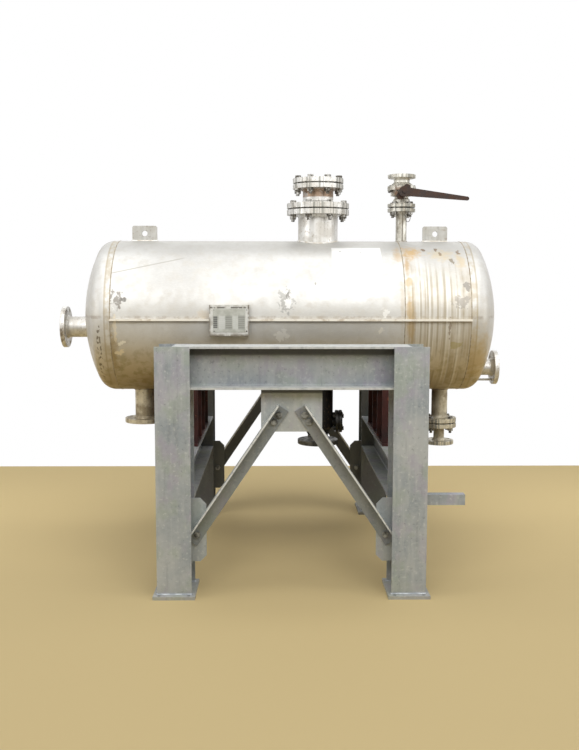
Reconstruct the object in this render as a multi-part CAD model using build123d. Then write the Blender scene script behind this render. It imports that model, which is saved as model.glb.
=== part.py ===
from build123d import *
from math import asin, cos, radians, sin, sqrt
import os

# A horizontal stainless vessel with dished heads, flanged nozzles and a lever valve,
# carried by two saddles on a galvanised steel stand.
# Sizes are in millimetres. The vessel lies along X, its front faces -Y and z = 0 is the floor.
# The origin is the middle of the stand's four feet.

# Fits
fit_gap = 0.3             # round a pipe in its hole and under a curved seat
lever_gap = 5.0           # between the valve's lever and the gland behind it
weld_bite = 1.0           # how far a saddle's ribs run into its wear plate
cut_through = 3.0         # a cutter's length, in thicknesses of what it goes through

# Vessel
shell_od = 822.0
shell_wall = 9.5
axis_height = 1312.0
vessel_middle = 4.0       # the vessel sits this far to the right of the stand's middle
seam_x = 934.0            # each head seam, from the vessel's middle
girth_seam_x = 593.0      # seam between the long course and the end course
head_straight = 31.0      # straight skirt of a head
knuckle_radius = 82.0
crown_radius = 822.0

# Parts on the shell
side_bar_drop = 7.0       # below the vessel's axis
side_bar_depth = 22.0     # how far it stands out
side_bar_thick = 10.0
lug_x = 804.0             # from the vessel's middle
lug_width = 137.0
lug_height = 83.0
lug_thick = 12.0
lug_hole_d = 30.0
lug_hole_up = 41.0        # hole centre above the shell
lug_corner = 8.0
bracket_x = -314.0
bracket_drop = 8.0        # its middle, below the vessel's axis
bracket_width = 203.0
bracket_height = 158.0
bracket_stand_off = 40.0
bracket_sheet = 5.0
nameplate_width = 165.0
nameplate_height = 120.0
nameplate_thick = 2.0

# Flanged joints
raised_face = 1.6
hub_height = 14.0
hub_step = 9.0            # how much wider the hub is than its pipe
edge_break = 1.5
gasket_thick = 3.0

# Nozzles: place along X, and distance from the vessel's axis to the flange face
top_x = 158.0
top_face = 583.5
top_spool_length = 135.5
valve_x = 620.0
valve_nozzle_face = 593.0
drain_left_x = -809.0
drain_left_face = 599.0
drain_right_x = 851.0
drain_right_face = 599.0
drain_spool_length = 124.0
pipe_trim = 60.0          # pipes start this far inside the shell and are then cut flush with its wall
boot_x = 163.0
boot_face = 725.0
boot_neck = 54.0          # small end of the boot, above its flange face
boot_cone = 45.0
boot_branch_drop = 597.5  # side outlet below the vessel's axis
boot_branch_face = 116.0  # side outlet's face from the boot's axis
left_nozzle_x = -1258.0
left_nozzle_drop = 64.0
right_nozzle_x = 1168.0
right_nozzle_up = 121.0   # above the lowest line of the shell
stay_under = 70.0         # flat stay's middle, below the middle of that nozzle
stay_depth = 12.0
stay_thick = 8.0

# Lever valve
valve_length = 181.0
valve_bore_d = 50.0
valve_bore_depth = 62.0
collar_r = 46.0           # radii of the body, from its lower flange up
waist_r = 38.0
belly_r = 60.0
ring_r = 78.0
neck_r = 43.0
flare_r = 50.0
collar_top = 44.0         # and heights above its lower face
waist_bottom = 50.0
waist_top = 60.0
belly_bottom = 65.0
belly_top = 93.5
ring_top = 114.0
neck_bottom = 137.0
neck_top = 149.0
stem_height = 81.0        # stem axis
stem_d = 18.0
boss_r = 22.0
boss_reach = 80.0         # boss end, from the valve's axis
gland_thick = 7.0
gland_half = 48.0
gland_width = 40.0
gland_turn = 48.0
hub_r = 28.0
hub_thick = 16.0
lever_length = 357.0
lever_root = 48.0
lever_tip = 21.0
lever_thick = 8.0
lever_droop = 6.2         # degrees below level
stem_proud = 8.0

# Wide flange section of the legs and beams
section_depth = 203.0
section_width = 165.0
section_flange = 10.0
section_web = 7.0
section_fillet = 8.0

# Stand
leg_x = 560.0             # leg centres
leg_y = 790.0
leg_top = 1201.0
foot_width = 200.0
foot_depth = 270.0
foot_thick = 16.0
anchor_x = 140.0          # anchor hole spacing on one foot
anchor_y = 236.0
anchor_d = 18.0
cross_beam_top = 640.0
plate = 10.0              # gusset thickness
head_gusset_width = 293.0
head_gusset_height = 211.0
foot_gusset_reach = 148.0 # from the leg's centre
foot_gusset_bottom = 150.0
foot_gusset_top = 462.0
foot_gusset_cut = 30.0
brace_leg = 64.0
brace_wall = 8.0
brace_top_x = 68.0        # outer corner of a brace's upper end
brace_top_z = 920.0
brace_length = 793.0
brace_slope = 56.0        # degrees from level
stub_size = 50.0
stub_wall = 5.0
stub_end = 838.0
stub_z = 456.0

# Saddles
saddle_width = 150.0
saddle_length = 780.0
saddle_plate = 12.0
saddle_web = 10.0
saddle_wear = 8.0
saddle_wear_width = 200.0
saddle_arc = 120.0        # degrees of shell that the saddle holds
saddle_ribs = 4

# Worked out from the sizes above
shell_r = shell_od / 2
bore_r = shell_r - shell_wall
left_seam = vessel_middle - seam_x
right_seam = vessel_middle + seam_x
knuckle_x = right_seam + head_straight
knuckle_y = shell_r - knuckle_radius
crown_x = knuckle_x - sqrt((crown_radius - knuckle_radius) ** 2 - knuckle_y ** 2)
pipe_start = bore_r - pipe_trim
right_nozzle_drop = shell_r - right_nozzle_up
stay_drop = right_nozzle_drop + stay_under
cross_beam_length = 2 * leg_y - section_depth
beam_length = 2 * leg_x - section_web
beam_z = leg_top - section_depth / 2
cross_beam_z = cross_beam_top - section_depth / 2
valve_base = axis_height + valve_nozzle_face + gasket_thick
stem_z = valve_base + stem_height
stem_root = belly_r / 3
gland_front = boss_reach + gland_thick
hub_back = gland_front + lever_gap


class Flange:
    """A standard flange and the pipe that goes with it."""

    def __init__(self, od, thick, circle, holes, hole_d, face_d, pipe_od, pipe_wall):
        self.r = od / 2
        self.thick = thick
        self.circle = circle / 2
        self.holes = holes
        self.hole_r = hole_d / 2
        self.face_r = face_d / 2
        self.pipe_r = pipe_od / 2
        self.bore_r = pipe_od / 2 - pipe_wall
        self.height = raised_face + thick


inch_1h = Flange(127.0, 17.5, 98.4, 4, 15.9, 73.0, 48.3, 3.7)
inch_2 = Flange(152.4, 19.1, 120.7, 4, 19.1, 92.1, 60.3, 3.9)
inch_2_heavy = Flange(165.1, 20.8, 127.0, 8, 19.1, 92.1, 60.3, 3.9)
inch_3 = Flange(190.5, 23.9, 152.4, 4, 19.1, 127.0, 88.9, 5.5)
inch_4 = Flange(228.6, 23.9, 190.5, 8, 19.1, 157.2, 114.3, 6.0)
inch_6 = Flange(279.4, 25.4, 241.3, 8, 22.2, 215.9, 168.3, 7.1)
inch_8 = Flange(342.9, 28.6, 298.5, 8, 22.2, 269.9, 219.1, 8.2)


def lathe(points):
    """Turn a closed outline of (radius, height) points about Z."""
    with BuildPart() as part:
        with BuildSketch(Plane.XZ):
            with BuildLine():
                Polyline(*points, close=True)
            make_face()
        revolve(axis=Axis.Z)
    return part.part


def bolt_holes(size, z):
    """Cutters for a flange's bolt holes, astride the axes, through the height z."""
    cutter = Cylinder(size.hole_r, cut_through * size.height)
    spots = PolarLocations(size.circle, size.holes, start_angle=180 / size.holes)
    return [Pos(0, 0, z) * spot * cutter for spot in spots]


def flange_edge(size, z, way):
    """Outline of a flange from its face at height z, back along way, to its hub."""
    back = z - way * size.height
    rim = z - way * raised_face
    return [
        (size.face_r, z),
        (size.face_r, rim),
        (size.r - edge_break, rim),
        (size.r, rim - way * edge_break),
        (size.r, back + way * edge_break),
        (size.r - edge_break, back),
        (size.pipe_r + hub_step, back),
        (size.pipe_r, back - way * hub_height),
    ]


def nozzle(size, reach):
    """Flange with its face up at z = 0, and its pipe down to -reach."""
    outline = [(size.bore_r, 0)] + flange_edge(size, 0, 1)
    outline += [(size.pipe_r, -reach), (size.bore_r, -reach)]
    return lathe(outline) - bolt_holes(size, -size.height / 2)


def reducing_spool(big, small, length):
    """Big flange face down at z = 0, small flange face up at z = length."""
    low = flange_edge(big, 0, -1)[:-2]
    low += [(small.pipe_r + hub_step, big.height), (small.pipe_r, big.height + hub_height)]
    high = flange_edge(small, length, 1)
    outline = [(small.bore_r, 0)] + low + high[::-1] + [(small.bore_r, length)]
    spool = lathe(outline) - bolt_holes(big, big.height / 2)
    return spool - bolt_holes(small, length - small.height / 2)


def blind(size):
    """Blind flange with its face down at z = 0."""
    outline = [(0, 0)] + flange_edge(size, 0, -1)[:-2] + [(0, size.height)]
    return lathe(outline) - bolt_holes(size, size.height / 2)


def gasket(size, inner_r):
    """Ring on the raised face, from z = 0 up."""
    low = (Align.CENTER, Align.CENTER, Align.MIN)
    return Cylinder(size.face_r, gasket_thick, align=low) - Cylinder(inner_r, gasket_thick, align=low)


def above(x, distance):
    """Place on the top of the vessel, face up."""
    return Pos(x, 0, axis_height + distance)


def below(x, distance):
    """Place under the vessel, face down."""
    return Pos(x, 0, axis_height - distance) * Rot(180, 0, 0)


def half_capsule(inset):
    """The vessel's right half as a solid from its middle, drawn in by inset all round."""
    tangent = asin(knuckle_y / (crown_radius - knuckle_radius))
    middle = (radians(90) + tangent) / 2
    knuckle = knuckle_radius - inset
    crown = crown_radius - inset
    start = (knuckle_x, knuckle_y + knuckle)
    mid = (knuckle_x + knuckle * cos(middle), knuckle_y + knuckle * sin(middle))
    join = (crown_x + crown * cos(tangent), crown * sin(tangent))
    crown_mid = (crown_x + crown * cos(tangent / 2), crown * sin(tangent / 2))
    tip = (crown_x + crown, 0)
    with BuildPart() as part:
        with BuildSketch(Plane.XZ):
            with BuildLine():
                Polyline((vessel_middle, 0), (vessel_middle, knuckle_y + knuckle), start)
                ThreePointArc(start, mid, join)
                ThreePointArc(join, crown_mid, tip)
                Line(tip, (vessel_middle, 0))
            make_face()
        revolve(axis=Axis.X)
    return part.part


def to_left(part):
    return mirror(part, about=Plane.YZ)


def to_other_end(part):
    """Mirror about the vessel's own middle."""
    return mirror(part, about=Plane.YZ.offset(vessel_middle))


def to_rear(part):
    return mirror(part, about=Plane.XZ)


def along_x(r, x0, x1):
    """Round bar along X."""
    return Pos((x0 + x1) / 2, 0, 0) * Rot(0, 90, 0) * Cylinder(r, x1 - x0)


def vessel_core():
    """The space inside the vessel, at its real height."""
    right = half_capsule(shell_wall)
    return Pos(0, 0, axis_height) * (right + to_other_end(right))


def pipe_holes(*places):
    """Cutters for pipes through the shell, each (x, size, up or down)."""
    cutters = []
    for x, size, way in places:
        cut = Cylinder(size.pipe_r + fit_gap, shell_r)
        cutters.append(Pos(x, 0, axis_height + way * shell_r) * cut)
    return cutters


def shell_course(x0, x1, holes):
    tube = along_x(shell_r, x0, x1) - along_x(bore_r, x0, x1)
    return Pos(0, 0, axis_height) * tube - holes


def head(hole_drop, size):
    """Right-hand dished head, with the hole for its nozzle."""
    dome = half_capsule(0) - half_capsule(shell_wall) - along_x(shell_od, 0, right_seam)
    hole = Pos(0, 0, -hole_drop) * along_x(size.pipe_r + fit_gap, seam_x, 2 * seam_x)
    return Pos(0, 0, axis_height) * (dome - hole)


def head_nozzle(size, face_x, drop):
    """Nozzle on the right-hand head, face towards +X."""
    blank = nozzle(size, face_x - seam_x)
    return Pos(face_x, 0, axis_height - drop) * Rot(0, 90, 0) * blank


def boot():
    """Sump under the shell: wide pipe with a hole for its branch, and a cone down to the outlet."""
    reach = boot_face - pipe_start
    body = lathe([
        (inch_4.pipe_r, -boot_neck),
        (inch_6.pipe_r, -boot_neck - boot_cone),
        (inch_6.pipe_r, -reach),
        (inch_6.bore_r, -reach),
        (inch_6.bore_r, -boot_neck - boot_cone),
        (inch_4.bore_r, -boot_neck),
    ])
    return below(boot_x, boot_face) * body - boot_branch_way(inch_1h.pipe_r + fit_gap)


def boot_branch_way(r):
    """Round bar from the boot's axis out to its branch's face."""
    return Pos(boot_x, 0, axis_height - boot_branch_drop) * along_x(r, 0, boot_branch_face)


def boot_branch():
    blank = nozzle(inch_1h, boot_branch_face)
    z = axis_height - boot_branch_drop
    placed = Pos(boot_x + boot_branch_face, 0, z) * Rot(0, 90, 0) * blank
    return placed - Pos(boot_x, 0, z) * Cylinder(inch_6.bore_r, cut_through * inch_1h.r)


def boot_blind():
    x = boot_x + boot_branch_face
    return Pos(x, 0, axis_height - boot_branch_drop) * Rot(0, 90, 0) * blind(inch_1h)


def nozzle_stay():
    """Flat stay from the right head to the back of its nozzle's flange."""
    end = right_nozzle_x - inch_3.height
    bar = Pos((seam_x + end) / 2, 0, -stay_drop) * Box(end - seam_x, stay_thick, stay_depth)
    return Pos(0, 0, axis_height) * (bar - half_capsule(-fit_gap))


def side_bar():
    """Flat bar along the front of the shell, from seam to seam."""
    y = -shell_r - fit_gap - side_bar_depth / 2
    place = Pos(vessel_middle, y, axis_height - side_bar_drop)
    return place * Box(2 * seam_x, side_bar_depth, side_bar_thick)


def lifting_lug():
    """Upright plate on top of the shell, drilled for a shackle."""
    face = Pos(0, lug_height / 2) * Rectangle(lug_width, lug_height)
    face = chamfer(face.vertices().group_by(Axis.Y)[-1], lug_corner)
    face -= Pos(0, lug_hole_up) * Circle(lug_hole_d / 2)
    body = extrude(Plane.XZ * face, lug_thick / 2, both=True)
    return Pos(vessel_middle + lug_x, 0, axis_height + shell_r + fit_gap) * body


def nameplate_bracket():
    """Bent plate that stands off the shell, open at its left and right ends."""
    face_y = -shell_r - bracket_stand_off
    depth = bracket_stand_off + shell_r
    outer = Box(bracket_width, depth, bracket_height, align=(Align.CENTER, Align.MIN, Align.CENTER))
    gap = Box(bracket_width, depth, bracket_height - 2 * bracket_sheet,
              align=(Align.CENTER, Align.MIN, Align.CENTER))
    channel = Pos(0, face_y - bracket_sheet, 0) * outer - Pos(0, face_y, 0) * gap
    channel -= Pos(0, 0, bracket_drop) * along_x(shell_r + fit_gap, -bracket_width, bracket_width)
    front = channel.solids().sort_by(Axis.Y)[0]
    return Pos(bracket_x, 0, axis_height - bracket_drop) * front


def nameplate():
    y = -shell_r - bracket_stand_off - bracket_sheet - nameplate_thick / 2
    plate_z = axis_height - bracket_drop
    return Pos(bracket_x, y, plate_z) * Box(nameplate_width, nameplate_thick, nameplate_height)


def valve_body():
    """Split-body valve: two flanges, collar, waist, belly, ring, neck and stem boss."""
    low = flange_edge(inch_2, 0, -1)[:-2]
    high = flange_edge(inch_2, valve_length, 1)[:-2]
    bore = valve_bore_d / 2
    outline = [(0, waist_bottom), (bore, waist_bottom - bore / 2), (bore, 0)] + low
    outline += [
        (collar_r, inch_2.height),
        (collar_r, collar_top),
        (waist_r, waist_bottom),
        (waist_r, waist_top),
        (belly_r, belly_bottom),
        (belly_r, belly_top),
        (ring_r, belly_top),
        (ring_r, ring_top),
        (neck_r, neck_bottom),
        (neck_r, neck_top),
        (flare_r, valve_length - inch_2.height),
    ]
    seat = valve_length - valve_bore_depth
    outline += high[::-1] + [(bore, valve_length), (bore, seat), (0, seat - bore / 2)]
    body = lathe(outline) - bolt_holes(inch_2, inch_2.height / 2)
    body -= bolt_holes(inch_2, valve_length - inch_2.height / 2)
    front = (Align.CENTER, Align.CENTER, Align.MIN)
    toward_front = Pos(0, 0, stem_height) * Rot(90, 0, 0)
    body += toward_front * Cylinder(boss_r, boss_reach, align=front)
    body -= toward_front * Pos(0, 0, stem_root) * Cylinder(stem_d / 2 + fit_gap, boss_reach, align=front)
    return Pos(valve_x, 0, valve_base) * body


def stem_frame(reach):
    """Drawing plane across the stem, reach in front of the valve's axis, facing the front."""
    return Plane(origin=(valve_x, -reach, stem_z), x_dir=(1, 0, 0), z_dir=(0, -1, 0))


def valve_gland():
    """Two-lobed plate over the stem boss."""
    face = Rot(0, 0, gland_turn) * SlotOverall(2 * gland_half, gland_width)
    face -= Circle(stem_d / 2 + fit_gap)
    return extrude(stem_frame(boss_reach) * face, gland_thick)


def valve_stem():
    inner = stem_root + fit_gap
    outer = hub_back + hub_thick + stem_proud
    return extrude(stem_frame(inner) * Circle(stem_d / 2), outer - inner)


def valve_lever():
    """Tapered flat lever with a thick round hub."""
    end = lever_length - lever_tip / 2
    blade = make_face(Polyline(
        (0, lever_root / 2), (end, lever_tip / 2),
        (end, -lever_tip / 2), (0, -lever_root / 2), close=True))
    blade += Pos(end, 0) * Circle(lever_tip / 2)
    blade = Rot(0, 0, -lever_droop) * blade
    middle = hub_back + (hub_thick - lever_thick) / 2
    lever = extrude(stem_frame(hub_back) * Circle(hub_r), hub_thick)
    lever += extrude(stem_frame(middle) * blade, lever_thick)
    return lever - extrude(stem_frame(hub_back) * Circle(stem_d / 2 + fit_gap), hub_thick)


def section(length, frame):
    """Wide flange beam, centred on frame and running along its z direction."""
    inner_h = section_depth / 2 - section_flange
    half_web = section_web / 2
    half_w = section_width / 2
    half_d = section_depth / 2
    quarter = [
        (half_w, half_d), (half_w, inner_h), (half_web, inner_h),
        (half_web, -inner_h), (half_w, -inner_h), (half_w, -half_d),
    ]
    other = [(-x, y) for x, y in quarter[::-1]]
    face = make_face(Polyline(*(quarter + other), close=True))
    roots = [v for v in face.vertices() if abs(v.X) < section_web]
    face = fillet(roots, section_fillet)
    return extrude(frame * face, length / 2, both=True)


def leg(x, y):
    height = leg_top - foot_thick
    return section(height, Plane(origin=(x, y, foot_thick + height / 2)))


def foot(x, y):
    """Base plate under a leg, with four anchor holes."""
    low = (Align.CENTER, Align.CENTER, Align.MIN)
    base = Box(foot_width, foot_depth, foot_thick, align=low)
    spots = GridLocations(anchor_x, anchor_y, 2, 2)
    base -= [spot * Cylinder(anchor_d / 2, cut_through * foot_thick) for spot in spots]
    return Pos(x, y, 0) * base


def top_beam(y):
    return section(beam_length, Plane(origin=(0, y, beam_z), x_dir=(0, 1, 0), z_dir=(1, 0, 0)))


def cross_beam(x):
    frame = Plane(origin=(x, 0, cross_beam_z), x_dir=(1, 0, 0), z_dir=(0, 1, 0))
    return section(cross_beam_length, frame)


def upright(face):
    """Give a drawn plate its thickness, in the plane of the front legs' webs."""
    frame = Plane(origin=(0, -leg_y, 0), x_dir=(1, 0, 0), z_dir=(0, -1, 0))
    return extrude(frame * face, plate / 2, both=True)


def head_gusset():
    middle = leg_top - section_depth - head_gusset_height / 2
    return upright(Pos(0, middle) * Rectangle(head_gusset_width, head_gusset_height))


def foot_gusset():
    """Plate in the left leg's pocket, with its free corners cut off."""
    wall = -leg_x + section_web / 2
    free = -leg_x + foot_gusset_reach
    return upright(make_face(Polyline(
        (wall, foot_gusset_bottom),
        (free - foot_gusset_cut, foot_gusset_bottom),
        (free, foot_gusset_bottom + foot_gusset_cut),
        (free, foot_gusset_top - foot_gusset_cut),
        (free - foot_gusset_cut, foot_gusset_top),
        (wall, foot_gusset_top),
        close=True)))


def brace():
    """Left angle brace, flat against the front of its gussets, its free leg along the upper side."""
    down = (-cos(radians(brace_slope)), 0, -sin(radians(brace_slope)))
    across = (sin(radians(brace_slope)), 0, -cos(radians(brace_slope)))
    origin = (-brace_top_x, -leg_y - plate / 2, brace_top_z)
    angle = make_face(Polyline(
        (0, 0), (brace_leg, 0), (brace_leg, brace_wall),
        (brace_wall, brace_wall), (brace_wall, brace_leg), (0, brace_leg), close=True))
    frame = Plane(origin=origin, x_dir=across, z_dir=down)
    if frame.y_dir.Y > 0:
        angle = mirror(angle, about=Plane.XZ)
    return extrude(frame * angle, brace_length)


def stub():
    """Short square tube that sticks out of the right front leg."""
    start = leg_x + section_web / 2
    tube = Box(stub_end - start, stub_size, stub_size)
    inner = stub_size - 2 * stub_wall
    tube -= Box(stub_end - start, inner, inner)
    return Pos((start + stub_end) / 2, -leg_y, stub_z) * tube


def saddle():
    """Right-hand saddle: base plate, web, ribs and the curved wear plate, welded into one."""
    seat_r = shell_r + fit_gap
    outer_r = seat_r + saddle_wear
    half_arc = radians(saddle_arc / 2)
    half_span = outer_r * sin(half_arc)
    top = -outer_r * cos(half_arc)
    bottom = cross_beam_top + saddle_plate - axis_height
    height = top - bottom
    centre = (top + bottom) / 2
    body = Pos(0, 0, centre) * Box(saddle_web, 2 * half_span, height)
    pitch = (2 * half_span - saddle_web) / (saddle_ribs - 1)
    for spot in GridLocations(1, pitch, 1, saddle_ribs):
        body += spot * Pos(0, 0, centre) * Box(saddle_width, saddle_web, height)
    body -= along_x(outer_r - weld_bite, -shell_r, shell_r)
    wear = along_x(outer_r, -saddle_wear_width / 2, saddle_wear_width / 2)
    wear -= along_x(seat_r, -shell_r, shell_r)
    keep = Pos(0, 0, top - shell_od / 2) * Box(shell_od, 2 * half_span, shell_od)
    body += wear & keep
    body += Pos(0, 0, bottom - saddle_plate / 2) * Box(saddle_width, saddle_length, saddle_plate)
    return Pos(leg_x, 0, axis_height) * body


core = vessel_core()
valve_hole = pipe_holes((valve_x, inch_2, 1))  # it cuts the girth seam
main_holes = valve_hole + pipe_holes(
    (top_x, inch_8, 1), (drain_left_x, inch_4, -1), (boot_x, inch_6, -1))
end_holes = valve_hole + pipe_holes((drain_right_x, inch_3, -1))
front_gusset = foot_gusset()
front_brace = brace()
front_gussets = [head_gusset(), front_gusset, to_left(front_gusset)]
front_braces = [front_brace, to_left(front_brace)]
top_gasket_z = top_face + gasket_thick + top_spool_length
drain_spool_face = drain_right_face + gasket_thick

nodes = {
    "shell_long_course": shell_course(left_seam, girth_seam_x, main_holes),
    "shell_end_course": shell_course(girth_seam_x, right_seam, end_holes),
    "head_left": to_other_end(head(left_nozzle_drop, inch_4)),
    "head_right": head(right_nozzle_drop, inch_3),
    "side_bars": [side_bar(), to_rear(side_bar())],
    "lifting_lug_left": to_other_end(lifting_lug()),
    "lifting_lug_right": lifting_lug(),
    "nameplate_bracket": nameplate_bracket(),
    "nameplate": nameplate(),
    "top_nozzle": above(top_x, top_face) * nozzle(inch_8, top_face - pipe_start) - core,
    "top_gasket_large": above(top_x, top_face) * gasket(inch_8, inch_6.bore_r),
    "top_spool":
        above(top_x, top_face + gasket_thick) * reducing_spool(inch_8, inch_6, top_spool_length),
    "top_gasket_small": above(top_x, top_gasket_z) * gasket(inch_6, inch_6.bore_r),
    "top_blind_flange": above(top_x, top_gasket_z + gasket_thick) * blind(inch_6),
    "valve_nozzle":
        above(valve_x, valve_nozzle_face) * nozzle(inch_2, valve_nozzle_face - pipe_start) - core,
    "valve_gasket": above(valve_x, valve_nozzle_face) * gasket(inch_2, inch_2.bore_r),
    "valve_body": valve_body(),
    "valve_gland": valve_gland(),
    "valve_stem": valve_stem(),
    "valve_lever": valve_lever(),
    "head_nozzle_left": to_left(head_nozzle(inch_4, -left_nozzle_x, left_nozzle_drop)) - core,
    "head_nozzle_right": head_nozzle(inch_3, right_nozzle_x, right_nozzle_drop) - core,
    "nozzle_stay": nozzle_stay(),
    "drain_nozzle_left":
        below(drain_left_x, drain_left_face) * nozzle(inch_4, drain_left_face - pipe_start) - core,
    "drain_nozzle_right":
        below(drain_right_x, drain_right_face) * nozzle(inch_3, drain_right_face - pipe_start) - core,
    "drain_gasket": below(drain_right_x, drain_right_face) * gasket(inch_3, inch_2.bore_r),
    "drain_spool":
        below(drain_right_x, drain_spool_face)
        * reducing_spool(inch_3, inch_2_heavy, drain_spool_length),
    "boot": boot() - core,
    "boot_outlet": below(boot_x, boot_face) * nozzle(inch_4, boot_neck),
    "boot_branch": boot_branch(),
    "boot_blind_flange": boot_blind(),
    "saddle_left": to_left(saddle()),
    "saddle_right": saddle(),
    "leg_front_left": leg(-leg_x, -leg_y),
    "leg_front_right": leg(leg_x, -leg_y),
    "leg_rear_left": leg(-leg_x, leg_y),
    "leg_rear_right": leg(leg_x, leg_y),
    "feet": [foot(x, y) for x in (-leg_x, leg_x) for y in (-leg_y, leg_y)],
    "top_beam_front": top_beam(-leg_y),
    "top_beam_rear": top_beam(leg_y),
    "cross_beam_left": cross_beam(-leg_x),
    "cross_beam_right": cross_beam(leg_x),
    "gussets": front_gussets + [to_rear(each) for each in front_gussets],
    "braces": front_braces + [to_rear(each) for each in front_braces],
    "stub_tube": stub(),
}

os.makedirs("parts", exist_ok=True)
for name, part in nodes.items():
    shape = Compound(children=part) if isinstance(part, list) else part
    export_step(shape, f"parts/{name}.step")
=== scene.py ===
"""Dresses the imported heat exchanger: finishes, studs and nuts, weld beads, floor, light and camera.

Everything is in metres, in the CAD frame: +X along the vessel, -Y to the front, +Z up.
"""
from math import cos, pi, radians, sin, sqrt

import bpy
from mathutils import Euler, Matrix, Vector


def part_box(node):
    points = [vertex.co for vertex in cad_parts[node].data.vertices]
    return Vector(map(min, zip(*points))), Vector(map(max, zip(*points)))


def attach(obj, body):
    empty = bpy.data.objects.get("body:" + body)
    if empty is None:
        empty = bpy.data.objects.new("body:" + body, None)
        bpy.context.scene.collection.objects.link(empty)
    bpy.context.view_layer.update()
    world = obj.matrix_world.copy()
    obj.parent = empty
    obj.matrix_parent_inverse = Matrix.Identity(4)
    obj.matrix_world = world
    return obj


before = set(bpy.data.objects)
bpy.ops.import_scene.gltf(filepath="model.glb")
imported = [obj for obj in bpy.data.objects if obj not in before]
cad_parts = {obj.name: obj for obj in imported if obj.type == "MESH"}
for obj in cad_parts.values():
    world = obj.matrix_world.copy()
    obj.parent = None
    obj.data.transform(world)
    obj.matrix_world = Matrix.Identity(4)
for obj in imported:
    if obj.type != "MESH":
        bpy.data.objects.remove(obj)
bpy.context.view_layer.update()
scene = bpy.context.scene
scene.view_settings.view_transform = "Standard"

BODY = "vessel_on_stand"
LEGS = ("leg_front_left", "leg_front_right", "leg_rear_left", "leg_rear_right")


def centre(node):
    low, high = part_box(node)
    return (Vector(low) + Vector(high)) / 2


def low(node):
    return Vector(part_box(node)[0])


def high(node):
    return Vector(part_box(node)[1])


# Sizes that the CAD model also has
MIDDLE = (low("head_left").x + high("head_right").x) / 2
AXIS_Z = centre("shell_end_course").z
SHELL_R = (high("shell_end_course").z - low("shell_end_course").z) / 2
GIRTH_SEAM = high("shell_long_course").x
HEAD_SEAM = (high("shell_end_course").x - low("shell_long_course").x) / 2
BAR_Z = centre("side_bars").z
HEAD_TIP = high("head_right").x - MIDDLE
HEAD_CROWN_R = 0.822
HEAD_KNUCKLE_R = 0.082
LEG_Y = centre("leg_rear_right").y
SECTION_FLANGE = 0.010
GUSSET_PLATE = 0.010
BRACE_PLATE = 0.008
BRACE_SLOPE = radians(56)
BRACE_TOP_X = 0.068


# Finishes

NOISE_ROUGHNESS = 0.55
PATTERN_MIDDLE = (0.3, 0.7)


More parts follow.
